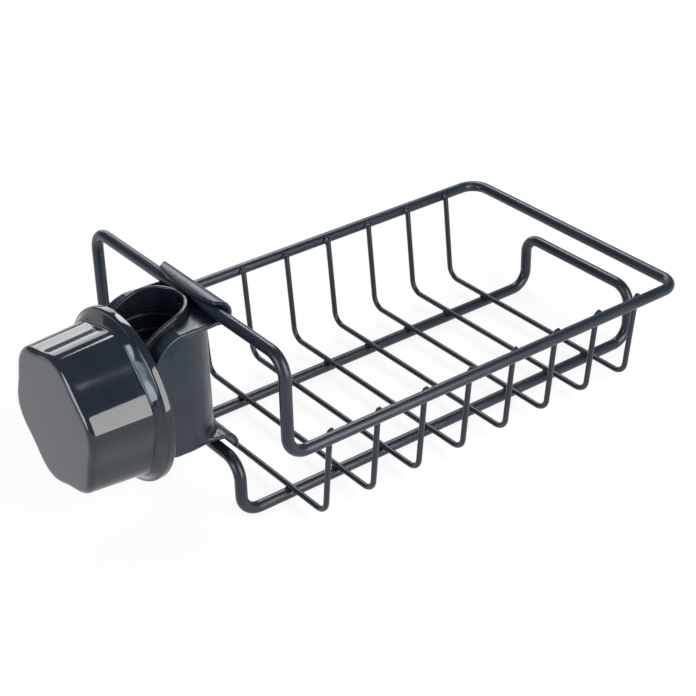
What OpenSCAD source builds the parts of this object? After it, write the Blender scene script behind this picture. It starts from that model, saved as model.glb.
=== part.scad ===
// Sponge holder that hangs on a tap: a welded wire basket carried by a plastic clamp,
// which a screw knob closes round the stem of the tap.
// Origin: axis of the clamped stem, at half the height of the clamp. +Z up,
// +X along the basket away from the knob, which points along -X.

/* [Clamp housing] */
// Height of the clamp housing
body_h = 43.5; // [36:0.5:56]
// Half width of the housing and radius of its round back
body_r = 17.5; // [16.5:0.1:22]
// Front face of the housing, in front of the stem axis
body_front = 10.2; // [8:0.1:14]
// Rounding of the housing's top front corner, seen from the side
body_top_corner_r = 12; // [3:0.5:16]
// Rounding of the housing's bottom front corner, seen from the side
body_low_corner_r = 7; // [3:0.5:12]
// Running and seating clearance between pieces
gap = 0.3; // [0.2:0.05:0.4]

/* [Stem and liner] */
// Radius of the stem that the liner takes
stem_r = 10.8; // [9:0.1:11]
// Wall of the rubber liner
liner_t = 1.3; // [1:0.1:2]
// How far the liner stands above the housing at the back
liner_proud = 4; // [0.5:0.1:5]
// How far the liner reaches below the housing
liner_drop = 1.2; // [0:0.1:3]
// How much lower the liner's top edge lies at its front
liner_slope = 6.5; // [0:0.5:7]
// Grip grooves in the liner
groove_n = 7; // [2:1:9]
// Height of one groove
groove_h = 1.2; // [0.6:0.1:2]
// Depth of one groove
groove_d = 0.5; // [0.2:0.1:0.8]
// Side of the square locating window in the liner
window_w = 2; // [1:0.1:3]
// Direction of the window from the middle of the liner's back
window_turn = 0; // [0:5:60]

/* [Threaded arms] */
// Outside radius of the threaded arms
arm_r = 20.6; // [19:0.1:22]
// Length of the threaded arms in front of the housing
arm_l = 19.8; // [12:0.1:24]
// Lead-in chamfer at the arm tips
arm_chamfer = 1.2; // [0:0.1:2]

/* [Hooks] */
// Outside radius of the upper hook
hook_r = 4.4; // [4.2:0.1:6]
// Half width of the upper hook at its back
hook_half_w = 18.9; // [15:0.1:24]
// Half width of the upper hook's front lip
lip_half_w = 16.3; // [12:0.1:20]
// How far the middle of the lip reaches in front of the bar's axis
lip_over = 1.5; // [0:0.1:2]
// Thickness of the top plate
plate_t = 2; // [1.5:0.1:3]
// Half width of the lower hook
low_hook_half_w = 17.6; // [12:0.1:20]
// Outside radius of the lower hook
low_hook_r = 5.3; // [4.8:0.1:6.5]
// Wall of the lower hook and the bottom plate
low_hook_t = 1.5; // [1.3:0.1:2.6]
// Radius of the fillet where the lower plate meets the housing
plate_fillet = 2; // [1:0.5:5]

/* [Knob] */
// Height of the knob's axis above the middle of the housing
knob_z = -2.8; // [-3:0.1:3]
// Radius of the knob's flange
flange_r = 29.5; // [27:0.1:34]
// Thickness of the flange
flange_t = 3.1; // [2:0.1:6]
// Length of the knob's grip in front of the flange
grip_l = 23.5; // [21:0.5:32]
// Radius of the grip at the corners of its front face
grip_corner_r = 25.1; // [24.4:0.1:27]
// Radius of the grip in the hollows of its front face
grip_hollow_r = 23.1; // [22.8:0.1:24]
// How much the grip widens towards the flange
grip_draft = 1.3; // [0.5:0.1:2]
// Rounding of the grip's front edge
grip_round = 2.2; // [1:0.1:3]
// Turn of the grip's corners about the knob's axis
grip_turn = 48; // [0:1:60]
// Wall of the knob's end
end_t = 2.5; // [1.5:0.1:4]
// Radius of the central boss inside the knob
boss_r = 8; // [7:0.1:10]

/* [Pressure pad] */
// Half height of the pad that the knob pushes against the stem
pad_half_h = 12; // [8:0.5:14]
// Thickness of the pad
pad_t = 10; // [6:0.5:11]
// Radius of the pad's hollow face
pad_face_r = 14; // [12:0.5:20]
// Radius of the pad's spigot
spigot_r = 5; // [3:0.1:6]
// Length of the pad's spigot
spigot_l = 9; // [4:0.5:10]
// Running clearance of the spigot in the knob
spigot_gap = 0.08; // [0.04:0.01:0.1]

/* [Basket wires] */
// Diameter of the thick frame wires, coating included
wire_d = 4.1; // [3:0.1:5]
// Diameter of the thin cross wires
cross_d = 2; // [1.5:0.1:3]
// How far the resistance welds sink one wire into the other
weld_sink = 0.15; // [0.05:0.05:0.3]
// Width of the basket between the rim wire's axes
rim_w = 110; // [90:1:130]
// Length of the rim between its wire axes
rim_l = 171.9; // [120:1:220]
// Height of the hanging bar above the rim
rim_rise = 35; // [28:0.5:45]
// Bend radius of the rim wire, at its axis
rim_bend = 7; // [6:0.5:15]
// Width of the base loop between wire axes
base_w = 56.5; // [52:0.5:70]
// How far the base loop reaches past the rim's far end
base_over = 4.4; // [0:0.1:8]
// How far the base loop's bar lies in front of the hanging bar
base_back = 1; // [0:0.1:2]
// Rise of the base loop at the clamp
base_rise = 20; // [14:0.5:26]
// Rise of the base loop at the far end
base_far_rise = 21.6; // [10:0.5:26]
// Bend radius of the base wire, at its axis
base_bend = 7; // [5:0.5:9]
// First cross wire, behind the hanging bar
cross_first = 18; // [12:0.1:30]
// Last cross wire, in front of the rim's far end
cross_last = 17.9; // [12:0.1:30]
// How far the cross wires' ends reach above the rim wire's axis
cross_over = 0.2; // [0:0.1:1]
// Lean of each cross wire leg, in degrees from upright
cross_lean = 6; // [0:0.5:12]
// Bend radius of the cross wires, at their axis
cross_bend = 5; // [3:0.5:8]
// How far the basket sits to the side of the clamp's middle
basket_shift = 2.8; // [-3:0.1:3]

/* [Hidden] */
$fn = 64;
eps = 0.01;
// Overlap that fuses two runs of wire that meet at a slant
lap = 0.001;

body_top = body_h / 2;
pocket_r = stem_r + liner_t + 0.1;
wire_r = wire_d / 2;
cross_r = cross_d / 2;

// Upper bar: seated on the top plate just behind the liner, with the hook over it
bar_x = stem_r + liner_t + gap + wire_r;
hook_ri = wire_r + gap;
bar_z = body_top + hook_ri;

// Lower bar: under the bottom plate, with the lower hook behind it
low_bar_x = bar_x - base_back;
low_plate_top = -body_top + 1.1;
low_hook_x = low_bar_x + 0.2;
low_hook_z = low_plate_top - low_hook_r + 0.1;
low_bar_z = low_hook_z - 1.5;

// Knob: its flange ends just in front of the housing and the stem
knob_back = -max(body_front, stem_r) - gap;
flange_front = knob_back - flange_t;
knob_front = flange_front - grip_l;
knob_bore_r = arm_r + 0.4;
knob_floor = knob_front + end_t;
pad_half_w = pocket_r - gap;
liner_front = -body_front + 1;
pad_front = liner_front - gap;
pad_back = pad_front - pad_t;
boss_back = pad_back - gap;

// Wire levels
rim_z = bar_z - rim_rise;
base_z = low_bar_z - base_rise;
floor_z = base_z + wire_r + cross_r - weld_sink;
rim_y = rim_w / 2;
base_y = base_w / 2;

// Ends of the two loops, and the places of the cross wires between them
rim_x1 = bar_x + rim_l;
base_x1 = rim_x1 + base_over;
cross_n = 8;
cross_pitch = (rim_l - cross_first - cross_last) / (cross_n - 1);

housing_colour = [0.16, 0.18, 0.20];
knob_colour = [0.20, 0.22, 0.25];
wire_colour = [0.14, 0.155, 0.17];
rubber_colour = [0.03, 0.03, 0.035];

// Positions are kept to a thousandth of a millimetre, so neighbouring runs meet exactly
function fine(x) = round(x * 1000) / 1000;
function fine3(v) = [for (x = v) fine(x)];
function unit(v) = v / norm(v);
function corner(p, i) = p[(i + len(p)) % len(p)];
function turn_at(p, i) = 180 - acos(unit(corner(p, i - 1) - corner(p, i))
    * unit(corner(p, i + 1) - corner(p, i)));
function trim_at(p, i, r) = r * tan(turn_at(p, i) / 2);

// Rigid placement with its local X and Y axes along u and v
module placed(o, u, v) {
    w = cross(u, v);
    multmatrix([[u.x, v.x, w.x, o.x], [u.y, v.y, w.y, o.y], [u.z, v.z, w.z, o.z], [0, 0, 0, 1]])
        children();
}

// Straight run of wire between two points
module straight(a, b, d) {
    w = unit(b - a);
    side = abs(w.z) > 0.9 ? [1, 0, 0] : [0, 0, 1];
    u = unit(cross(side, w));
    v = cross(w, u);
    placed(a, u, v) cylinder(d = d, h = norm(b - a));
}

// Bend of the wire at corner b on the way from a to c
module bend(a, b, c, r, d) {
    u = unit(a - b);
    v = unit(c - b);
    turn = 180 - acos(u * v);
    start = b + u * r * tan(turn / 2);
    middle = b + unit(u + v) * r / cos(turn / 2);
    placed(middle, unit(start - middle), -u)
        rotate_extrude(angle = turn) translate([r, 0]) circle(d = d);
}

// Closed loop of wire through its corner points
module wire_loop(corners, r, d) {
    p = [for (c = corners) fine3(c)];
    for (i = [0:len(p) - 1]) {
        bend(corner(p, i - 1), p[i], corner(p, i + 1), r, d);
        way = unit(corner(p, i + 1) - p[i]);
        straight(p[i] + way * trim_at(p, i, r),
            corner(p, i + 1) - way * trim_at(p, i + 1, r), d);
    }
}

// Rim: one wire round the mouth of the basket, raised at the clamp into a hanging bar
module rim_frame() {
    color(wire_colour) translate([0, basket_shift, 0]) wire_loop([
        [rim_x1, -rim_y, rim_z],
        [bar_x, -rim_y, rim_z],
        [bar_x, -rim_y, bar_z],
        [bar_x, rim_y, bar_z],
        [bar_x, rim_y, rim_z],
        [rim_x1, rim_y, rim_z]], rim_bend, wire_d);
}

// Base: one wire under the floor, raised at both ends
module base_frame() {
    color(wire_colour) translate([0, basket_shift, 0]) wire_loop([
        [base_x1, -base_y, base_z],
        [low_bar_x, -base_y, base_z],
        [low_bar_x, -base_y, low_bar_z],
        [low_bar_x, base_y, low_bar_z],
        [low_bar_x, base_y, base_z],
        [base_x1, base_y, base_z],
        [base_x1, base_y, base_z + base_far_rise],
        [base_x1, -base_y, base_z + base_far_rise]], base_bend, wire_d);
}

// Cross wire: a wide U whose legs lean out and are welded inside the rim
module cross_wire(i) {
    turn = 90 - cross_lean;
    top_y = rim_y - wire_r - cross_r + weld_sink;
    rise = (rim_z - floor_z - cross_bend * (1 - cos(turn))) / sin(turn);
    half_floor = fine(top_y - cross_bend * sin(turn) - rise * cos(turn));
    color(wire_colour)
    translate([fine(bar_x + cross_first + (i - 1) * cross_pitch), basket_shift, 0]) {
        translate([0, 0, fine(floor_z)]) rotate([90, 0, 0])
            cylinder(d = cross_d, h = 2 * half_floor, center = true);
        for (side = [0, 1]) mirror([0, side, 0])
            translate([0, half_floor, fine(floor_z) + cross_bend]) rotate([0, 90, 0]) {
                rotate_extrude(angle = turn) translate([cross_bend, 0]) circle(d = cross_d);
                rotate([0, 0, turn]) translate([cross_bend, -lap, 0]) rotate([-90, 0, 0])
                    cylinder(d = cross_d, h = rise + cross_over);
            }
    }
}

module cross_wire_1() { cross_wire(1); }
module cross_wire_2() { cross_wire(2); }
module cross_wire_3() { cross_wire(3); }
module cross_wire_4() { cross_wire(4); }
module cross_wire_5() { cross_wire(5); }
module cross_wire_6() { cross_wire(6); }
module cross_wire_7() { cross_wire(7); }
module cross_wire_8() { cross_wire(8); }

// U seen from above: round at the back, straight sides towards the knob
module u_plan(r, front) {
    circle(r = r);
    translate([-front, -r]) square([front, 2 * r]);
}

// Extrusion of a side view: x and z of the drawing become X and Z
module side_view(half_w) {
    rotate([90, 0, 0]) linear_extrude(2 * half_w, center = true) children();
}

// Side view of the housing, with its two front corners rounded
module housing_side() {
    low = body_low_corner_r;
    top = body_top_corner_r;
    intersection() {
        translate([-body_front, -body_top]) square([body_front + body_r + 1, body_h]);
        union() {
            translate([-body_front + low, -body_top]) square([body_front + body_r, body_h - top]);
            translate([-body_front + top, -body_top + low]) square([body_front + body_r, body_h]);
            translate([-body_front, -body_top + low]) square([top + eps, body_h - low - top]);
            translate([-body_front + low, -body_top + low]) circle(r = low);
            translate([-body_front + top, body_top - top]) circle(r = top);
        }
    }
}

// Side view of the top plate and the hook that wraps the hanging bar
module upper_hook_side() {
    difference() {
        union() {
            translate([0, body_top - plate_t]) square([bar_x, plate_t]);
            translate([bar_x, bar_z]) circle(r = hook_r);
        }
        translate([bar_x, bar_z]) circle(r = hook_ri);
        translate([bar_x - hook_r - 1, body_top]) square([hook_r + 1 - lip_over, 2 * hook_r]);
        translate([bar_x - hook_r - 1, bar_z - 2 * hook_r])
            square([hook_r + 1, 2 * hook_r - hook_ri - plate_t]);
    }
}

// Plan outline of the upper hook: the lip is shorter than the back
module upper_hook_plan() {
    k = hook_half_w - lip_half_w;
    polygon([[-1, -body_r], [bar_x - hook_r, -body_r], [bar_x, -lip_half_w - k * 0.35],
        [bar_x + hook_r * 0.7, -hook_half_w], [bar_x + hook_r + 1, -hook_half_w],
        [bar_x + hook_r + 1, hook_half_w], [bar_x + hook_r * 0.7, hook_half_w],
        [bar_x, lip_half_w + k * 0.35], [bar_x - hook_r, body_r], [-1, body_r]]);
}

// Plan outline of the hook above the bar: its front edge is bowed towards the knob
module lip_plan() {
    reach = [for (k = [-1:0.125:1]) [bar_x - lip_over * (1 - k * k), lip_half_w * k]];
    polygon(concat(reach, [[bar_x + hook_r * 0.7, hook_half_w],
        [bar_x + hook_r + 1, hook_half_w], [bar_x + hook_r + 1, -hook_half_w],
        [bar_x + hook_r * 0.7, -hook_half_w]]));
}

// Side view of the bottom plate and the lower hook
module lower_hook_side() {
    difference() {
        union() {
            translate([0, low_plate_top - low_hook_t]) square([low_hook_x, low_hook_t]);
            translate([low_hook_x, low_hook_z]) circle(r = low_hook_r);
        }
        translate([low_hook_x, low_hook_z]) circle(r = low_hook_r - low_hook_t);
        translate([low_hook_x - 2 * low_hook_r, low_hook_z - 2 * low_hook_r])
            square([2 * low_hook_r, 2 * low_hook_r + low_hook_r - low_hook_t]);
        translate([low_hook_x - 1, low_hook_z - 2 * low_hook_r])
            square([low_hook_r + 2, 2 * low_hook_r - 1.4]);
    }
}

// Plan outline of the bottom plate, which widens from the round back to the hook
module lower_hook_plan() {
    inner_w = sqrt(pow(body_r, 2) - pow(low_hook_x / 2, 2)) - gap;
    polygon([[0, -inner_w], [low_hook_x / 2, -inner_w], [low_hook_x, -low_hook_half_w],
        [low_hook_x + low_hook_r + 1, -low_hook_half_w],
        [low_hook_x + low_hook_r + 1, low_hook_half_w], [low_hook_x, low_hook_half_w],
        [low_hook_x / 2, inner_w], [0, inner_w]]);
}

// Fillet between the round back and the bottom plate
module back_fillet() {
    intersection() {
        rotate_extrude() difference() {
            translate([body_r - 1, low_plate_top - 1]) square([plate_fillet + 1, plate_fillet + 1]);
            translate([body_r + plate_fillet, low_plate_top + plate_fillet])
                circle(r = plate_fillet);
        }
        translate([0, 0, -body_top]) linear_extrude(body_h / 2) lower_hook_plan();
    }
}

// Clamp housing: U-shaped body, threaded arms and the two hooks, moulded in one
module clamp_body() {
    color(housing_colour) difference() {
        union() {
            intersection() {
                linear_extrude(body_h, center = true) u_plan(body_r, body_front);
                side_view(body_r + 1) housing_side();
            }
            intersection() {
                side_view(hook_half_w) upper_hook_side();
                union() {
                    linear_extrude(bar_z) upper_hook_plan();
                    linear_extrude(2 * body_h) lip_plan();
                }
            }
            intersection() {
                side_view(low_hook_half_w) lower_hook_side();
                linear_extrude(2 * body_h, center = true) lower_hook_plan();
            }
            back_fillet();
            translate([-body_front - arm_l + arm_chamfer, 0, knob_z]) rotate([0, 90, 0])
                cylinder(r = arm_r, h = arm_l - arm_chamfer + 1);
            translate([-body_front - arm_l, 0, knob_z]) rotate([0, 90, 0])
                cylinder(r1 = arm_r - arm_chamfer, r2 = arm_r, h = arm_chamfer);
        }
        linear_extrude(2 * body_h, center = true)
            u_plan(pocket_r, body_front + arm_l + 1);
    }
}

// Side view of the liner: proud of the housing, its top edge falling towards the knob
module liner_side() {
    top = body_top + liner_proud;
    low = -body_top - liner_drop;
    polygon([[liner_front, low], [stem_r + liner_t + 1, low],
        [stem_r + liner_t + 1, top], [0, top - liner_slope * 0.25],
        [liner_front, top - liner_slope]]);
}

// Rubber liner: U-shaped grip band round the stem, grooved inside
module liner() {
    h = body_h + liner_proud + liner_drop;
    pitch = body_h / (groove_n + 1);
    color(rubber_colour) difference() {
        intersection() {
            linear_extrude(3 * body_h, center = true)
                u_plan(stem_r + liner_t, -liner_front);
            side_view(body_r) liner_side();
        }
        linear_extrude(3 * body_h, center = true) u_plan(stem_r, body_front + 1);
        for (i = [1:groove_n])
            translate([0, 0, -body_top + i * pitch])
                linear_extrude(groove_h, center = true)
                    u_plan(stem_r + groove_d, body_front + 1);
        rotate([0, 0, window_turn]) translate([stem_r, 0, body_top + window_w / 2])
            cube([3 * liner_t, window_w, window_w], center = true);
    }
}

// Pressure pad: slides between the arms, pushed by the knob, and does not turn
module pressure_pad() {
    color(rubber_colour) {
        difference() {
            translate([pad_back, -pad_half_w, knob_z - pad_half_h])
                cube([pad_t, 2 * pad_half_w, 2 * pad_half_h]);
            translate([pad_face_r - stem_r - gap, 0, knob_z])
                cylinder(r = pad_face_r, h = 3 * pad_half_h, center = true);
        }
        translate([pad_back - spigot_l, 0, knob_z]) rotate([0, 90, 0])
            cylinder(r = spigot_r, h = spigot_l + 1);
    }
}

// Knob: hollow cap with a round flange, screwed over the two arms
module knob() {
    color(knob_colour) difference() {
        union() {
            translate([flange_front, 0, knob_z]) rotate([0, 90, 0])
                cylinder(r = flange_r, h = flange_t);
            translate([0, 0, knob_z]) grip_skin();
        }
        translate([knob_floor, 0, knob_z]) rotate([0, 90, 0]) difference() {
            cylinder(r = knob_bore_r, h = grip_l + flange_t);
            cylinder(r = boss_r, h = boss_back - knob_floor);
        }
        translate([pad_back - spigot_l - 0.5, 0, knob_z]) rotate([0, 90, 0])
            cylinder(r = spigot_r + spigot_gap, h = spigot_l + 2);
    }
}

// Tapered grip: the outline at the flange blended to the rounded front face
module grip_skin() {
    steps = 4;
    straight_l = grip_l - grip_round;
    pts_n = 90;
    levels = concat([[-flange_t / 2, grip_draft], [0, grip_draft]], [for (k = [0:steps])
        let (a = 90 * k / steps)
        [straight_l + grip_round * sin(a), -grip_round * (1 - cos(a))]]);
    mid = (grip_corner_r + grip_hollow_r) / 2;
    half = (grip_corner_r - grip_hollow_r) / 2;
    rows = [for (l = levels) [for (j = [0:pts_n - 1])
        let (a = 360 * j / pts_n)
        let (r = mid + l[1] + half * cos(6 * (a - grip_turn)))
        [flange_front - l[0], r * cos(a), r * sin(a)]]];
    pts = [for (row = rows) each row];
    m = len(levels);
    sides = [for (k = [0:m - 2]) for (j = [0:pts_n - 1])
        let (p = k * pts_n + j, q = k * pts_n + (j + 1) % pts_n)
        each [[p, q, q + pts_n], [p, q + pts_n, p + pts_n]]];
    back = [[for (j = [pts_n - 1:-1:0]) j]];
    front = [[for (j = [0:pts_n - 1]) (m - 1) * pts_n + j]];
    polyhedron(points = pts, faces = concat(sides, back, front));
}

clamp_body();
liner();
pressure_pad();
knob();
rim_frame();
base_frame();
cross_wire_1();
cross_wire_2();
cross_wire_3();
cross_wire_4();
cross_wire_5();
cross_wire_6();
cross_wire_7();
cross_wire_8();
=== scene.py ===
"""Looks of the tap-hung sponge holder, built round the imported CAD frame.

Shapes are written in millimetres, in the frame of the CAD model, and turned into metres
when a mesh is made. Lamps and camera are placed in metres.
"""
import math

import bpy
import numpy as np
from mathutils import Matrix


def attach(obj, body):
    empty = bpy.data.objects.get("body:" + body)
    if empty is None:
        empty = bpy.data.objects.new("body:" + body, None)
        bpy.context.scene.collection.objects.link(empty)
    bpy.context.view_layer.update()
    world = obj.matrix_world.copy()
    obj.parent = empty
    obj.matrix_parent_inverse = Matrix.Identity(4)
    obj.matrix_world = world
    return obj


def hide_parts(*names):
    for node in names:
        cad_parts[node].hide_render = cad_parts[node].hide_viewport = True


MM = 0.001

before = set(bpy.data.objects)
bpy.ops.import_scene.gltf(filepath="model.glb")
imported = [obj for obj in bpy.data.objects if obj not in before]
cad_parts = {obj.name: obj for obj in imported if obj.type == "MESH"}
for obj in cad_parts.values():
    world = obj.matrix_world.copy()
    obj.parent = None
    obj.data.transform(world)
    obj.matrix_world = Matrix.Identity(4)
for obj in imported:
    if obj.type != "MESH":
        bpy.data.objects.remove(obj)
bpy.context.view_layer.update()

# Sizes that follow the CAD model's. R is a radius, W a half width and T a thickness.

# Housing and its channel
BODY_TOP, BODY_R, BODY_FRONT = 21.75, 17.5, 10.2
SIDE_TOP_R, SIDE_LOW_R = 12.0, 7.0
POCKET_R = 12.2

# Upper hook, round the raised bar of the rim
BAR_X, BAR_Z = 14.45, 24.1
HOOK_R, HOOK_RI, HOOK_W = 4.4, 2.35, 18.9
LIP_W, PLATE_T = 16.3, 2.0
FLARE_X, PLATE_OVER, FLARE_Z = BAR_X + 3.1, 0.9, 22.5

# Lower hook, round the low bar of the base
LOW_BAR_X, LOW_BAR_Z = 13.45, -27.35
LOW_PLATE_TOP, LOW_PLATE_W = -20.65, 15.81
LOW_HOOK_X, LOW_HOOK_Z, LOW_HOOK_R, LOW_HOOK_T = 13.65, -25.85, 5.3, 1.5
LOW_HOOK_W, LOW_HOOK_DROP = 17.6, 1.4
LOW_FILLET = 2.0

# Threaded arms
KNOB_Z = -2.8
ARM_R, ARM_TIP, ARM_CHAMFER, ARM_ROOT = 20.6, -30.0, 1.2, 1
THREAD_PITCH = 3.0

# Liner
STEM_R, LINER_R, LINER_FRONT, LINER_LOW = 10.8, 12.1, -9.2, -22.95
LINER_BACK, LINER_TOP = 13.1, 25.75
LINER_FALL, LINER_RUN, LINER_BOW = 6.5, 22.3, 2.6
GROOVES, GROOVE_DEPTH, GROOVE_HALF, GROOVE_FLANK = 7, 0.5, 0.75, 0.25
WINDOW_HALF, WINDOW_FROM = 1, 8

# Pressure pad and its spigot
PAD_FRONT, PAD_BACK, PAD_HALF_W, PAD_HALF_H = -9.5, -19.5, 11.9, 12.0
PAD_HOLLOW_X, PAD_HOLLOW_R = 2.9, 14.0
SPIGOT_R, SPIGOT_TIP, SPIGOT_ROOT = 5.0, -28.5, 1

# Knob
KNOB_BACK, FLANGE_FRONT, KNOB_FRONT = -11.1, -14.2, -37.7
FLANGE_R, KNOB_BORE_R, KNOB_FLOOR = 29.5, 21.0, -35.2
LOBES, GRIP_MID, GRIP_HALF, GRIP_DRAFT, GRIP_ROUND = 6, 24.1, 1.0, 1.3, 2.2
BOSS_R, BOSS_BACK, SPIGOT_BORE_R, SPIGOT_FLOOR = 8.0, -19.8, 5.08, -29.0

# Basket, which hangs off the middle by SHIFT
SHIFT = 2.8
WIRE_R, CROSS_R = 2.05, 1.0
RIM_Y, RIM_Z, RIM_X1, RIM_BEND = 55.0, -10.9, 186.35, 7.0
BASE_Y, BASE_Z, BASE_X1, BASE_TOP, BASE_BEND = 28.25, -47.35, 190.75, -25.75, 7.0
FLOOR_Z, CROSS_BEND, CROSS_LEAN, CROSS_TOP_Y, CROSS_OVER = -44.45, 5.0, 6.0, 52.1, 0.2
CROSS_X0, CROSS_PITCH, CROSS_N = 32.45, 19.4286, 8
LOWEST = -49.4

# Trim that the CAD model leaves out, or has a little differently. The grip's lobes are
# turned by 2 degrees from the CAD's, and the lip of the upper hook reaches further over the
# bar and has a flatter top.
GRIP_TURN = 46
LIP_END, LIP_BOW = 0.6, 1.8
LIP_FLAT, LIP_FLAT_LEAN, LIP_FLAT_EDGE = 0.55, 8, 1.2
FLANGE_CONE, FLANGE_EDGE, FLANGE_BACK_EDGE = 1.8, 0.9, 0.7
ARM_THREAD, BORE_THREAD = 0.28, 0.25
CROSS_END_EDGE = 0.35


# Meshes


def new_piece(name, points, faces, normals=None):
    """A smooth-shaded mesh object from points in millimetres."""
    mesh = bpy.data.meshes.new(name)
    mesh.from_pydata((np.asarray(points) * MM).tolist(), [], [list(map(int, f)) for f in faces])
    mesh.validate()
    mesh.polygons.foreach_set("use_smooth", [True] * len(mesh.polygons))
    if normals is not None:
        mesh.normals_split_custom_set_from_vertices(np.asarray(normals).tolist())
    obj = bpy.data.objects.new(name, mesh)
    bpy.context.scene.collection.objects.link(obj)
    return obj


def dress(obj, body, slot, material, *nodes):
    """The piece rides on its body, takes its finish and stands for these nodes."""
    obj.data.materials.append(material)
    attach(obj, body)
    if nodes:
        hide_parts(*nodes)


def join_rings(rings, closed=False, offset=0):
    """Quads between rings of equal size, as indices.

    In a closed loop, the last ring joins the first one with its points turned by offset.
    """
    n = len(rings[0])
    faces = []
    for k in range(len(rings) - (0 if closed else 1)):
        a, b = rings[k], rings[(k + 1) % len(rings)]
        s = offset if closed and k == len(rings) - 1 else 0
        for j in range(n):
            faces.append((a[j], a[(j + 1) % n], b[(j + 1 + s) % n], b[(j + s) % n]))
    return faces


# Wires


def rounded_path(corners, bend, closed, arc_n=14, step=6.0):
    """Points along straight runs joined by arcs, with at least step between those of a run."""
    p = [np.array(c, float) for c in corners]
    n = len(p)
    runs = []
    for i in range(n):
        if not closed and i in (0, n - 1):
            runs.append([p[i]])
            continue
        u = p[i - 1] - p[i]
        v = p[(i + 1) % n] - p[i]
        u, v = u / np.linalg.norm(u), v / np.linalg.norm(v)
        turn = math.pi - math.acos(float(np.clip(u @ v, -1, 1)))
        middle = p[i] + (u + v) / np.linalg.norm(u + v) * bend / math.cos(turn / 2)
        start = p[i] + u * bend * math.tan(turn / 2)
        e1, e2 = (start - middle) / bend, -u
        runs.append([middle + bend * (e1 * math.cos(t) + e2 * math.sin(t))
                     for t in np.linspace(0, turn, arc_n + 1)])
    path = []
    for i, run in enumerate(runs):
        path += run
        if i == n - 1 and not closed:
            break
        a, b = run[-1], runs[(i + 1) % n][0]
        k = max(1, int(np.linalg.norm(b - a) / step))
        path += [a + (b - a) * t / k for t in range(1, k)]
    return np.array(path)


def tube(name, path, radius, sides, end_edge=None, end_rings=3):
    """Round wire swept along a path, with its section carried along it.

    The path is a closed loop, unless end_edge gives the rounding of its two ends.
    """
    n = len(path)
    closed = end_edge is None
    if closed:
        way = np.roll(path, -1, 0) - np.roll(path, 1, 0)
    else:
        way = np.gradient(path, axis=0)
    way /= np.linalg.norm(way, axis=1)[:, None]
    u = np.cross(way[0], [0, 0, 1.0] if abs(way[0][2]) < 0.9 else [1.0, 0, 0])
    u /= np.linalg.norm(u)
    first = u
    angle = np.linspace(0, 2 * math.pi, sides, endpoint=False)
    points, rings = [], []

    def ring(centre, u, w, r):
        v = np.cross(w, u)
        start = len(points)
        points.extend(centre + r * (math.cos(t) * u + math.sin(t) * v) for t in angle)
        rings.append(list(range(start, start + sides)))

    def end_ring(end, inwards, w, k):
        t = k / end_rings * math.pi / 2
        ring(path[end] + inwards * end_edge * (1 - math.sin(t)), u, w,
             radius - end_edge * (1 - math.cos(t)))

    if not closed:
        for k in range(end_rings, 0, -1):
            end_ring(0, way[0], way[0], k)
    for i in range(n):
        if i:
            u = u - (u @ way[i]) * way[i]
            u /= np.linalg.norm(u)
        centre = path[i]
        if not closed and i == 0:
            centre = path[0] + way[0] * end_edge
        if not closed and i == n - 1:
            centre = path[-1] - way[-1] * end_edge
        ring(centre, u, way[i], radius)
    offset = 0
    faces = []
    if closed:
        u = u - (u @ way[0]) * way[0]
        u /= np.linalg.norm(u)
        twist = math.atan2(first @ np.cross(way[0], u), first @ u)
        offset = round(-twist / (2 * math.pi) * sides) % sides
    else:
        for k in range(1, end_rings + 1):
            end_ring(-1, -way[-1], way[-1], k)
        for end in (0, -1):
            points.append(np.mean([points[j] for j in rings[end]], axis=0))
            c = len(points) - 1
            r = rings[end]
            fan = [(r[(j + 1) % sides], r[j], c) for j in range(sides)]
            faces += fan if end == 0 else [f[::-1] for f in fan]
    faces += join_rings(rings, closed, offset)
    return new_piece(name, points, faces)


# Solids from distance functions, for moulded shapes with rounded edges and fillets


def both(a, b, r):
    """Where two shapes overlap, with the edge between them rounded."""
    return (np.minimum(np.maximum(a, b), -r)
            + np.hypot(np.maximum(a + r, 0), np.maximum(b + r, 0)))


def either(a, b, r):
    """Two shapes together, with a fillet between them."""
    return (np.maximum(np.minimum(a, b), r)
            - np.hypot(np.maximum(r - a, 0), np.maximum(r - b, 0)))


def slope_of(f, p, h=0.01):
    """Gradient of the function f at points p, over steps of h."""
    x, y, z = p.T
    return np.stack([f(x + h, y, z) - f(x - h, y, z), f(x, y + h, z) - f(x, y - h, z),
                     f(x, y, z + h) - f(x, y, z - h)], 1) / (2 * h)


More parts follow.
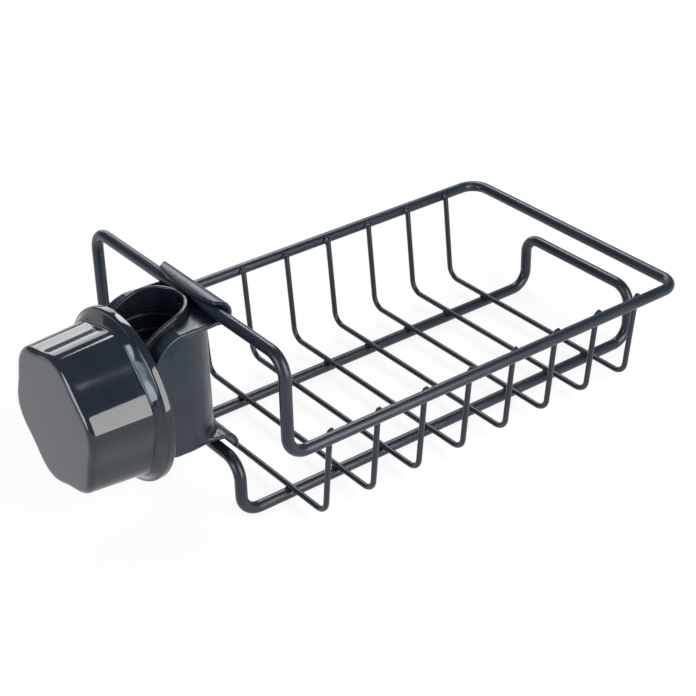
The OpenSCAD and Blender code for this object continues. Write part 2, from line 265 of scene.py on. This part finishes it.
def surface(name, f, low, high, step, relax=3, normal_h=0.03):
    """Mesh of the surface where the distance function f is zero.

    A grid of cells with sides of step fills the box from low to high. Each cell that the
    surface crosses gets one point, each grid edge that it crosses gets one quad, and then
    the points are spread evenly and settled on the surface.
    """
    axes = [np.arange(a, b + step, step) for a, b in zip(low, high)]
    value = f(*np.meshgrid(*axes, indexing="ij"))
    inside = value < 0
    cells = tuple(s - 1 for s in value.shape)
    total = np.zeros(cells + (3,))
    count = np.zeros(cells)
    crossings = []
    for axis in range(3):
        a = [slice(None)] * 3
        b = [slice(None)] * 3
        a[axis], b[axis] = slice(None, -1), slice(1, None)
        va, vb = value[tuple(a)], value[tuple(b)]
        cross = inside[tuple(a)] != inside[tuple(b)]
        share = np.where(cross, va / np.where(cross, va - vb, 1), 0)
        crossings.append((cross, inside[tuple(a)]))
        others = [k for k in range(3) if k != axis]
        for i in (0, 1):
            for j in (0, 1):
                s = [slice(None)] * 3
                s[others[0]] = slice(i, cells[others[0]] + i)
                s[others[1]] = slice(j, cells[others[1]] + j)
                c = cross[tuple(s)]
                count += c
                total[..., axis] += share[tuple(s)] * c
                total[..., others[0]] += i * c
                total[..., others[1]] += j * c
    used = count > 0
    index = np.full(cells, -1)
    index[used] = np.arange(used.sum())
    where = np.argwhere(used)
    points = (where + total[used] / count[used][:, None]) * step + np.array([a[0] for a in axes])
    quads = []
    for axis in range(3):
        cross, start_inside = crossings[axis]
        o1, o2 = (axis + 1) % 3, (axis + 2) % 3
        at = np.argwhere(cross)
        in_grid = (at[:, o1] > 0) & (at[:, o2] > 0) & (at[:, o1] < cells[o1])
        at = at[in_grid & (at[:, o2] < cells[o2])]
        e1, e2 = np.eye(3, dtype=int)[o1], np.eye(3, dtype=int)[o2]
        ids = [index[tuple((at - k).T)] for k in (0 * e1, e1, e1 + e2, e2)]
        quad = np.stack(ids, 1)
        flip = ~start_inside[tuple(at.T)]
        quad[flip] = quad[flip][:, ::-1]
        quads.append(quad)
    quads = np.concatenate(quads)

    def settle(p, times):
        for _ in range(times):
            g = slope_of(f, p)
            move = f(*p.T)[:, None] * g / np.maximum((g * g).sum(1), 0.1)[:, None]
            p = p - np.clip(move, -step, step)
        return p

    points = settle(points, 3)
    ends = np.concatenate([quads[:, [k, (k + 1) % 4]] for k in range(4)])
    n = len(points)
    number = np.bincount(ends.ravel(), minlength=n)[:, None]
    for _ in range(relax):
        around = np.stack([np.bincount(ends[:, 0], points[ends[:, 1], k], n)
                           + np.bincount(ends[:, 1], points[ends[:, 0], k], n)
                           for k in range(3)], 1)
        points = settle(0.5 * points + 0.5 * around / np.maximum(number, 1), 2)
    normals = slope_of(f, points, normal_h)
    normals /= np.linalg.norm(normals, axis=1)[:, None]
    return new_piece(name, points, quads, normals)


def u_wall(x, y, r):
    """U seen from above: round at the back, straight sides towards the knob."""
    return np.where(x > 0, np.hypot(x, y), np.abs(y)) - r


def thread_turn(x, y, z):
    """Where a point lies in the right-hand thread, in turns."""
    return np.mod(-x / THREAD_PITCH - np.arctan2(y, z - KNOB_Z) / (2 * math.pi), 1)


def ridge(turn, centre, half=0.27, flank=0.14):
    """Height of a thread ridge from 0 to 1, with sloping flanks. All lengths are in turns."""
    away = np.abs(np.mod(turn - centre + 0.5, 1) - 0.5)
    return np.clip((half - away) / flank, 0, 1)


# Materials


def noise(tree, scale, detail, roughness=0.5):
    """Noise in the frame of the model, so it stays with a piece that moves."""
    place = tree.nodes.new("ShaderNodeTexCoord")
    node = tree.nodes.new("ShaderNodeTexNoise")
    node.inputs["Scale"].default_value = scale
    node.inputs["Detail"].default_value = detail
    node.inputs["Roughness"].default_value = roughness
    tree.links.new(place.outputs["Object"], node.inputs["Vector"])
    return node


def make_material(name, layers, cloud, roughness, colours, specular=0.5):
    """A finish with bumps on bumps, and with roughness and colour that vary in clouds.

    layers are (noise, strength, height in metres) from the lowest bump to the highest, and
    cloud is a noise too. A noise is its scale, its detail and, if not 0.5, its roughness.
    roughness and colours are the values at the two ends of the clouds.
    """
    cloud_low, cloud_high = 0.3, 0.7
    material = bpy.data.materials.new(name)
    material.use_nodes = True
    tree = material.node_tree
    shader = tree.nodes["Principled BSDF"]
    shader.inputs["Specular IOR Level"].default_value = specular

    last = None
    for source, strength, height in layers:
        node = tree.nodes.new("ShaderNodeBump")
        node.inputs["Strength"].default_value = strength
        node.inputs["Distance"].default_value = height
        tree.links.new(noise(tree, *source).outputs[0], node.inputs["Height"])
        if last:
            tree.links.new(last.outputs[0], node.inputs["Normal"])
        last = node
    tree.links.new(last.outputs[0], shader.inputs["Normal"])

    clouds = noise(tree, *cloud)
    gloss = tree.nodes.new("ShaderNodeMapRange")
    gloss.inputs["From Min"].default_value = cloud_low
    gloss.inputs["From Max"].default_value = cloud_high
    gloss.inputs["To Min"].default_value = roughness[0]
    gloss.inputs["To Max"].default_value = roughness[1]
    tree.links.new(clouds.outputs[0], gloss.inputs["Value"])
    tree.links.new(gloss.outputs["Result"], shader.inputs["Roughness"])

    tint = tree.nodes.new("ShaderNodeValToRGB")
    for element, place, colour in zip(tint.color_ramp.elements, (cloud_low, cloud_high), colours):
        element.position = place
        element.color = (*colour, 1)
    tree.links.new(clouds.outputs[0], tint.inputs["Fac"])
    tree.links.new(tint.outputs["Color"], shader.inputs["Base Color"])
    return material


# Satin powder coat: orange peel and fine tooth, uneven gloss
wire_coat = make_material(
    "powder_coat", [((620, 2), 0.08, 0.00005), ((3600, 2), 0.02, 0.00002)], (60, 3),
    (0.28, 0.36), [(0.006, 0.010, 0.017), (0.010, 0.015, 0.024)], specular=0.4)
# Polished moulding: slow sink waves, very fine haze
knob_gloss = make_material(
    "knob_plastic", [((45, 1), 0.2, 0.0006), ((700, 2), 0.08, 0.00003)], (90, 4, 0.6),
    (0.06, 0.10), [(0.006, 0.009, 0.0145), (0.009, 0.0125, 0.019)])
# Spark-eroded mould grain on a satin plastic
housing_satin = make_material(
    "housing_plastic", [((70, 1), 0.2, 0.0006), ((2600, 3, 0.6), 0.04, 0.00002)], (120, 4),
    (0.25, 0.33), [(0.008, 0.014, 0.022), (0.012, 0.019, 0.029)], specular=0.4)
# Black rubber with a fine grain
rubber = make_material(
    "rubber", [((3000, 3), 0.3, 0.00003)], (200, 4),
    (0.20, 0.30), [(0.006, 0.008, 0.013), (0.009, 0.012, 0.019)])


# Clamp


def upper_hook(x, y, z):
    """Plate and ring round the raised bar, wider where it flares, with a bowed lip."""
    edge, plate_edge, corner = 0.7, 0.5, 1.0
    plate = np.maximum(both(z - BODY_TOP, BODY_TOP - PLATE_T - z, plate_edge),
                       np.maximum(-x, x - BAR_X))
    mid, half = (HOOK_R + HOOK_RI) / 2, (HOOK_R - HOOK_RI) / 2
    ring = np.abs(np.hypot(x - BAR_X, z - BAR_Z) - mid) - half
    lean = math.radians(LIP_FLAT_LEAN)
    height = (z - BAR_Z) * math.cos(lean) - (x - BAR_X) * math.sin(lean)
    ring = both(ring, height - HOOK_R + LIP_FLAT, LIP_FLAT_EDGE)
    lip_end = BAR_X - LIP_END - LIP_BOW * (1 - (y / LIP_W) ** 2)
    ring = both(ring, np.minimum(lip_end - x, z - BODY_TOP), edge)

    # The hook's width seen from above, at the plate and at the height of the lip
    at_plate = np.abs(y) - np.interp(x, [BAR_X - HOOK_R, BAR_X, FLARE_X],
                                     [BODY_R, LIP_W + PLATE_OVER, HOOK_W])
    at_lip = np.abs(y) - np.interp(x, [BAR_X, FLARE_X], [LIP_W, HOOK_W])
    share = np.clip((z - FLARE_Z) / (BAR_Z - FLARE_Z), 0, 1)
    return both(np.minimum(plate, ring), at_plate + (at_lip - at_plate) * share, corner)


def lower_hook(x, y, z):
    """Plate and quarter ring over the low bar."""
    edge, plate_edge = 0.6, 0.4
    plate = np.maximum(both(z - LOW_PLATE_TOP, LOW_PLATE_TOP - LOW_HOOK_T - z, plate_edge),
                       np.maximum(-x, x - LOW_HOOK_X))
    mid = LOW_HOOK_R - LOW_HOOK_T / 2
    ring = np.abs(np.hypot(x - LOW_HOOK_X, z - LOW_HOOK_Z) - mid) - LOW_HOOK_T / 2
    keep = np.maximum(np.minimum(LOW_HOOK_X - x, LOW_HOOK_Z + LOW_HOOK_R - LOW_HOOK_T - z),
                      LOW_HOOK_Z - LOW_HOOK_DROP - z)
    plan = np.abs(y) - np.interp(x, [LOW_HOOK_X / 2, LOW_HOOK_X], [LOW_PLATE_W, LOW_HOOK_W])
    return both(np.minimum(plate, both(ring, keep, edge)), plan, edge)


def arms(x, y, z):
    """The two half-round threaded arms, as one tube that the pocket will split."""
    edge = 0.3
    away = np.hypot(y, z - KNOB_Z)
    crest = ARM_R + ARM_THREAD * ridge(thread_turn(x, y, z), 0.0)
    chamfer = (away - x - (ARM_R - ARM_CHAMFER - ARM_TIP)) / math.sqrt(2)
    tip = np.maximum(ARM_TIP - x, chamfer)
    return np.maximum(both(away - crest, tip, edge), x + BODY_FRONT - ARM_ROOT)


def housing(x, y, z):
    """The clamp's moulding: U-wall, two hooks, arms, and the open pocket for the stem."""
    shell_edge, hook_fillet, arm_fillet, pocket_edge = 0.6, 0.5, 0.3, 0.35
    side = both(both(-x - BODY_FRONT, z - BODY_TOP, SIDE_TOP_R), -z - BODY_TOP, SIDE_LOW_R)
    shell = both(u_wall(x, y, BODY_R), side, shell_edge)
    whole = either(shell, upper_hook(x, y, z), hook_fillet)
    whole = either(whole, lower_hook(x, y, z), LOW_FILLET)
    whole = either(whole, arms(x, y, z), arm_fillet)
    return both(whole, -u_wall(x, y, POCKET_R), pocket_edge)


def liner(x, y, z):
    """The grooved lining of the pocket, with its falling top edge and small window."""
    top_edge, front_edge, edge = 0.3, 0.4, 0.35
    share = np.clip((LINER_BACK - x) / LINER_RUN, 0, 1)
    top = LINER_TOP - LINER_FALL * share ** LINER_BOW
    pitch = 2 * BODY_TOP / (GROOVES + 1)
    level = np.clip(np.round((z + BODY_TOP) / pitch), 1, GROOVES) * pitch - BODY_TOP
    groove = GROOVE_DEPTH * np.clip((GROOVE_HALF - np.abs(z - level)) / GROOVE_FLANK, 0, 1)
    outer = both(both(z - top, LINER_LOW - z, top_edge), LINER_FRONT - x, front_edge)
    band = both(outer, u_wall(x, y, LINER_R), edge)
    band = both(band, -(u_wall(x, y, STEM_R) - groove), edge)
    window = np.maximum(np.maximum(np.abs(y), np.abs(z - BODY_TOP - WINDOW_HALF)) - WINDOW_HALF,
                        WINDOW_FROM - x)
    return both(band, -window, edge)


def pad(x, y, z):
    """The block that presses on the stem, hollowed to fit it, and its spigot."""
    edge, hollow_edge, seam = 0.8, 0.5, 0.02
    block = both(both(x - PAD_FRONT, PAD_BACK - x, edge), np.abs(y) - PAD_HALF_W, edge)
    block = both(block, np.abs(z - KNOB_Z) - PAD_HALF_H, edge)
    block = both(block, PAD_HOLLOW_R - np.hypot(x - PAD_HOLLOW_X, y), hollow_edge)
    spigot = both(np.hypot(y, z - KNOB_Z) - SPIGOT_R,
                  np.maximum(SPIGOT_TIP - x, x - PAD_BACK - SPIGOT_ROOT), edge)
    return either(block, spigot, seam)


dress(surface("clamp_moulding", housing, (-31, -22, -33), (21, 22, 30), 0.4),
      "clamp", "housing", housing_satin, "clamp_body")
dress(surface("grip_liner", liner, (-10, -13, -24), (13, 13, 27), 0.28),
      "clamp", "liner", rubber, "liner")
dress(surface("pad_moulding", pad, (-29.5, -13, -16), (-8.5, 13, 11), 0.45),
      "pad", "pad", rubber, "pressure_pad")


# Knob


def knob_mesh():
    """Lobed cap with a round flange, its bore, thread, boss and spigot hole.

    It is one closed skin of rings round the knob's axis, from the middle of the front, over
    the outside and into the bore, to the floor of the spigot hole.
    """
    n = 360
    a = np.linspace(0, 2 * math.pi, n, endpoint=False)
    rings = []

    def add(x, r):
        rings.append((np.broadcast_to(np.asarray(x, float), n),
                      np.broadcast_to(np.asarray(r, float), n)))

    def off_face(x, r, dx, dr, count, skip=0):
        """Quarter turn round the corner at x and r that leaves a flat face."""
        for t in np.linspace(0, math.pi / 2, count)[skip:]:
            add(x + dx * (1 - math.cos(t)), r + dr * (1 - math.sin(t)))

    def onto_face(x, r, dx, dr, count, skip=0):
        """Quarter turn round the corner at x and r that comes onto a flat face."""
        for t in np.linspace(0, math.pi / 2, count)[skip:]:
            add(x + dx * (1 - math.sin(t)), r + dr * (1 - math.cos(t)))

    # Front face, with rings that are closer towards its rounded edge
    lobe = GRIP_MID + GRIP_HALF * np.cos(LOBES * (a - math.radians(GRIP_TURN)))
    flat = lobe - GRIP_ROUND
    for share in (0.12, 0.3, 0.5, 0.7, 0.85, 0.95, 1.0):
        add(KNOB_FRONT, flat * share)
    off_face(KNOB_FRONT, lobe, GRIP_ROUND, -GRIP_ROUND, 10, 1)

    # Side of the grip, with its draught, down to the fillet at its foot
    fillet = np.minimum(0.6, 0.2 * (FLANGE_R - lobe - GRIP_DRAFT))
    foot_x = FLANGE_FRONT - FLANGE_CONE
    start = KNOB_FRONT + GRIP_ROUND
    length = foot_x - start
    for t in np.linspace(0, 1, 15)[1:]:
        x = start + (length - fillet) * t
        add(x, lobe + GRIP_DRAFT * (x - start) / length)
    foot = lobe + GRIP_DRAFT * (1 - fillet / length)
    onto_face(foot_x, foot, -fillet, fillet, 9, 1)

    # Flange: slightly conical front, rim and back
    outline = foot + fillet
    for t in (0.1, 0.33, 0.66, 0.9, 1.0):
        add(FLANGE_FRONT - FLANGE_CONE * (1 - t), outline * (1 - t) + (FLANGE_R - FLANGE_EDGE) * t)
    off_face(FLANGE_FRONT, FLANGE_R, FLANGE_EDGE, -FLANGE_EDGE, 7, 1)
    onto_face(KNOB_BACK, FLANGE_R, -FLANGE_BACK_EDGE, -FLANGE_BACK_EDGE, 7)
    for r in (25.5, 23.0, KNOB_BORE_R + 0.6):
        add(KNOB_BACK, r)

    # Bore with its chamfer and its thread, which fades in and out over 1 mm
    add(KNOB_BACK - 0.3, KNOB_BORE_R + 0.25)
    add(KNOB_BACK - 0.6, KNOB_BORE_R)
    thread_start, thread_end = -12.6, -33.4
    for x in np.arange(-12.0, -33.8, -0.25):
        turn = thread_turn(x, np.cos(a), np.sin(a) + KNOB_Z)
        fade = min(1, max(0, thread_start - x), max(0, x - thread_end))
        add(x, KNOB_BORE_R - BORE_THREAD * fade * ridge(turn, 0.5))

    # Floor of the bore, boss and spigot hole
    onto_face(KNOB_FLOOR, KNOB_BORE_R, 1.0, -1.0, 5, 1)
    for r in (17.0, 13.0):
        add(KNOB_FLOOR, r)
    off_face(KNOB_FLOOR, BOSS_R, 0.8, 0.8, 5)
    onto_face(BOSS_BACK, BOSS_R, -0.5, -0.5, 4)
    off_face(BOSS_BACK, SPIGOT_BORE_R, -0.3, 0.3, 4)
    add(SPIGOT_FLOOR + 0.3, SPIGOT_BORE_R)
    add(SPIGOT_FLOOR, SPIGOT_BORE_R - 0.3)

    points = [np.stack([x, r * np.cos(a), r * np.sin(a) + KNOB_Z], 1) for x, r in rings]
    points.append(np.array([[KNOB_FRONT, 0, KNOB_Z], [SPIGOT_FLOOR, 0, KNOB_Z]]))
    points = np.concatenate(points)
    index = [list(range(k * n, k * n + n)) for k in range(len(rings))]
    faces = join_rings(index)
    first, last, tip, floor = index[0], index[-1], len(points) - 2, len(points) - 1
    faces += [(first[(j + 1) % n], first[j], tip) for j in range(n)]
    faces += [(last[j], last[(j + 1) % n], floor) for j in range(n)]
    return new_piece("knob_moulding", points, [f[::-1] for f in faces])


dress(knob_mesh(), "knob", "knob", knob_gloss, "knob")


# Basket


def shifted(points):
    return [(x, y + SHIFT, z) for x, y, z in points]


rim = rounded_path(shifted([
    (RIM_X1, -RIM_Y, RIM_Z), (BAR_X, -RIM_Y, RIM_Z), (BAR_X, -RIM_Y, BAR_Z),
    (BAR_X, RIM_Y, BAR_Z), (BAR_X, RIM_Y, RIM_Z), (RIM_X1, RIM_Y, RIM_Z)]), RIM_BEND, True)
dress(tube("rim_wire", rim, WIRE_R, 32), "basket", "wire", wire_coat, "rim_frame")

base = rounded_path(shifted([
    (BASE_X1, -BASE_Y, BASE_Z), (LOW_BAR_X, -BASE_Y, BASE_Z), (LOW_BAR_X, -BASE_Y, LOW_BAR_Z),
    (LOW_BAR_X, BASE_Y, LOW_BAR_Z), (LOW_BAR_X, BASE_Y, BASE_Z), (BASE_X1, BASE_Y, BASE_Z),
    (BASE_X1, BASE_Y, BASE_TOP), (BASE_X1, -BASE_Y, BASE_TOP)]), BASE_BEND, True)
dress(tube("base_wire", base, WIRE_R, 32), "basket", "wire", wire_coat, "base_frame")


def cross_path(x):
    """A wide U whose legs lean out to the inside of the rim."""
    turn = math.radians(90 - CROSS_LEAN)
    rise = (RIM_Z - FLOOR_Z - CROSS_BEND * (1 - math.cos(turn))) / math.sin(turn)
    half = CROSS_TOP_Y - CROSS_BEND * math.sin(turn) - rise * math.cos(turn)
    corner = half + CROSS_BEND * math.tan(turn / 2)
    reach = CROSS_BEND * math.tan(turn / 2) + rise + CROSS_OVER
    top_y = corner + reach * math.cos(turn)
    top_z = FLOOR_Z + reach * math.sin(turn)
    return rounded_path(shifted([(x, -top_y, top_z), (x, -corner, FLOOR_Z), (x, corner, FLOOR_Z),
                                 (x, top_y, top_z)]), CROSS_BEND, False, arc_n=10)


cross_at = [CROSS_X0 + k * CROSS_PITCH for k in range(CROSS_N)]
for k, x in enumerate(cross_at):
    piece = tube(f"grid_wire_{k + 1}", cross_path(x), CROSS_R, 20, CROSS_END_EDGE)
    dress(piece, "basket", "wire", wire_coat, f"cross_wire_{k + 1}")


def weld_beads():
    """Small squeezed-out beads where thin wires are welded to the rim and the base."""
    rng = np.random.default_rng(11)
    rows, cols = 9, 16
    rim_size, base_size = (1.5, 1.05, 1.55), (1.5, 1.35, 0.55)
    spots = []
    for x in cross_at:
        for s in (-1, 1):
            spots.append(((x, s * (RIM_Y - WIRE_R - 0.25) + SHIFT, RIM_Z + 0.2), rim_size))
            spots.append(((x, s * BASE_Y + SHIFT, BASE_Z + WIRE_R - 0.05), base_size))
    points, faces = [], []
    for centre, size in spots:
        size = np.array(size) * rng.uniform(0.92, 1.1, 3)
        centre = np.array(centre) + rng.uniform(-0.12, 0.12, 3)
        phase = rng.uniform(0, 2 * math.pi, 2)
        rings = []
        for i in range(1, rows):
            t = math.pi * i / rows
            ring = []
            for j in range(cols):
                u = 2 * math.pi * j / cols
                way = np.array([math.sin(t) * math.cos(u), math.sin(t) * math.sin(u),
                                math.cos(t)])
                swell = (1 + 0.06 * math.sin(2 * u + phase[0])
                         + 0.04 * math.sin(3 * t + u + phase[1]))
                ring.append(len(points))
                points.append(centre + way * size * swell)
            rings.append(ring)
        top, bottom = len(points), len(points) + 1
        points += [centre + [0, 0, size[2]], centre - [0, 0, size[2]]]
        faces += [f[::-1] for f in join_rings(rings)]
        faces += [(rings[0][j], rings[0][(j + 1) % cols], top) for j in range(cols)]
        faces += [(rings[-1][(j + 1) % cols], rings[-1][j], bottom) for j in range(cols)]
    return new_piece("weld_beads", points, faces)


dress(weld_beads(), "basket", "wire", wire_coat)


# Stage


def seen_white(tree, near_share, near=0.25, far=0.75):
    """Share of plain white in what the camera or a reflection sees of the floor.

    It is near_share by the object, where the rest shows the shadow, and rises to all of it
    between near and far metres from the origin, so that no far edge shows.
    """
    path = tree.nodes.new("ShaderNodeLightPath")
    most = path.outputs["Is Camera Ray"]
    for ray in ("Is Glossy Ray", "Is Transmission Ray"):
        node = tree.nodes.new("ShaderNodeMath")
        node.operation = "MAXIMUM"
        tree.links.new(most, node.inputs[0])
        tree.links.new(path.outputs[ray], node.inputs[1])
        most = node.outputs[0]
    place = tree.nodes.new("ShaderNodeTexCoord")
    away = tree.nodes.new("ShaderNodeVectorMath")
    away.operation = "LENGTH"
    tree.links.new(place.outputs["Object"], away.inputs[0])
    share = tree.nodes.new("ShaderNodeMapRange")
    share.inputs["From Min"].default_value = near
    share.inputs["From Max"].default_value = far
    share.inputs["To Min"].default_value = near_share
    share.inputs["To Max"].default_value = 1.0
    tree.links.new(away.outputs["Value"], share.inputs["Value"])
    part = tree.nodes.new("ShaderNodeMath")
    part.operation = "MULTIPLY"
    tree.links.new(most, part.inputs[0])
    tree.links.new(share.outputs["Result"], part.inputs[1])
    return part.outputs[0]


def make_floor(half=6.0):
    """White floor under the basket, which reaches half metres each way."""
    z = LOWEST * MM
    mesh = bpy.data.meshes.new("floor")
    mesh.from_pydata([(-half, -half, z), (half, -half, z), (half, half, z), (-half, half, z)],
                     [], [(0, 1, 2, 3)])
    floor = bpy.data.objects.new("floor", mesh)
    bpy.context.scene.collection.objects.link(floor)
    material = bpy.data.materials.new("floor_white")
    material.use_nodes = True
    tree = material.node_tree
    shader = tree.nodes["Principled BSDF"]
    shader.inputs["Base Color"].default_value = (0.9, 0.9, 0.9, 1)
    shader.inputs["Roughness"].default_value = 0.9
    shader.inputs["Specular IOR Level"].default_value = 0.1
    glow = tree.nodes.new("ShaderNodeEmission")
    mix = tree.nodes.new("ShaderNodeMixShader")
    tree.links.new(seen_white(tree, near_share=0.86), mix.inputs["Fac"])
    tree.links.new(shader.outputs[0], mix.inputs[1])
    tree.links.new(glow.outputs[0], mix.inputs[2])
    tree.links.new(mix.outputs[0], tree.nodes["Material Output"].inputs["Surface"])
    mesh.materials.append(material)


def make_world():
    """Soft bluish light from all round, and plain white where the camera looks at it."""
    world = bpy.data.worlds.new("studio")
    world.use_nodes = True
    tree = world.node_tree
    room = tree.nodes["Background"]
    room.inputs["Color"].default_value = (0.80, 0.90, 1.0, 1)
    room.inputs["Strength"].default_value = 0.30
    white = tree.nodes.new("ShaderNodeBackground")
    white.inputs["Color"].default_value = (1, 1, 1, 1)
    white.inputs["Strength"].default_value = 1.0
    path = tree.nodes.new("ShaderNodeLightPath")
    mix = tree.nodes.new("ShaderNodeMixShader")
    tree.links.new(path.outputs["Is Camera Ray"], mix.inputs["Fac"])
    tree.links.new(room.outputs[0], mix.inputs[1])
    tree.links.new(white.outputs[0], mix.inputs[2])
    tree.links.new(mix.outputs[0], tree.nodes["World Output"].inputs["Surface"])
    bpy.context.scene.world = world


def placed(obj, right, up, back, place):
    """The object is linked at its place, with these directions for its own x, y and z."""
    bpy.context.scene.collection.objects.link(obj)
    obj.matrix_world = Matrix([[right[k], up[k], back[k], place[k]] for k in range(3)]
                              + [[0, 0, 0, 1]])
    return obj


def make_camera():
    """The camera that was fitted to the photograph's straight wires."""
    data = bpy.data.cameras.new("camera")
    data.lens = 88.21
    data.sensor_width = 36.0
    data.clip_start = 0.01
    right = (0.793095, -0.608756, -0.020402)
    up = (0.326868, 0.397105, 0.857593)
    back = (-0.513963, -0.686821, 0.513925)
    camera = placed(bpy.data.objects.new("camera", data), right, up, back,
                    (-0.22915, -0.40950, 0.28634))
    bpy.context.scene.camera = camera


def area_light(name, place, target, size, power, colour=(1, 1, 1)):
    """Soft box of this size and power in watts that faces its target."""
    data = bpy.data.lights.new(name, "AREA")
    data.shape = "RECTANGLE"
    data.size, data.size_y = size
    data.energy = power
    data.color = colour
    back = np.array(place, float) - np.array(target, float)
    back /= np.linalg.norm(back)
    right = np.cross([0, 0, 1.0], back)
    right /= np.linalg.norm(right)
    obj = placed(bpy.data.objects.new(name, data), right, np.cross(back, right), back, place)
    obj.visible_camera = False


make_floor()
make_world()
make_camera()
area_light("box_right", (0.178, -0.545, 0.219), (-0.02, 0, 0), (0.40, 0.57), 5.6,
           (1.0, 0.99, 0.96))
area_light("box_left", (0.266, 0.707, 0.241), (-0.02, 0, 0), (0.40, 0.32), 1.2)
area_light("box_back", (0.43, 0.50, 0.61), (0, 0, 0), (0.34, 0.34), 3.4)
area_light("front_fill", (-0.875, -0.061, 0.205), (0, 0, 0), (0.46, 0.46), 6.0,
           (0.76, 0.90, 1.0))

scene = bpy.context.scene
scene.view_settings.view_transform = "Standard"
